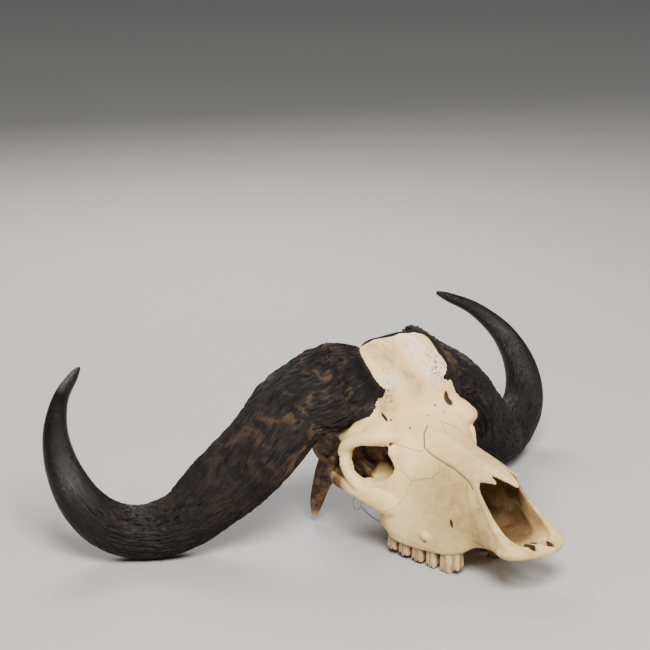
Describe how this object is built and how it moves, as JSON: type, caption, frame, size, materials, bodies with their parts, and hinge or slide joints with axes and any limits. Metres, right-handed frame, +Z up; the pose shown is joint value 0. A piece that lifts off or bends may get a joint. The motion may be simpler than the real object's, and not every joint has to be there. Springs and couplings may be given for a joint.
{
  "type": "cape buffalo skull",
  "caption": "Bleached buffalo skull without its lower jaw, with dark curved horns and rough bosses, lying on its horns and upper teeth.",
  "frame": {"origin": "middle of the bounding box in X and Y, on the surface that the horns and the upper teeth rest on", "axes": "muzzle to -Y, the animal's left to +X, +Z up from the biting plane towards the horn bosses"},
  "size_m": [0.9484, 0.6462, 0.3022],
  "materials": {
    "bone": "dry ivory bone with brown stains",
    "horn": "rough barky boss turning to glossy black tips",
    "steel": "bright wire"
  },
  "bodies": {
    "root": {"cranium": "bone", "nasal_right": "bone", "nasal_left": "bone", "maxilla_right": "bone", "maxilla_left": "bone", "premaxilla_right": "bone", "premaxilla_left": "bone", "lacrimal_right": "bone", "lacrimal_left": "bone", "zygomatic_right": "bone", "zygomatic_left": "bone", "horn_right": "horn", "horn_left": "horn", "hanger_ring": "steel", "hanger_wire": "steel"}
  },
  "joints": []
}
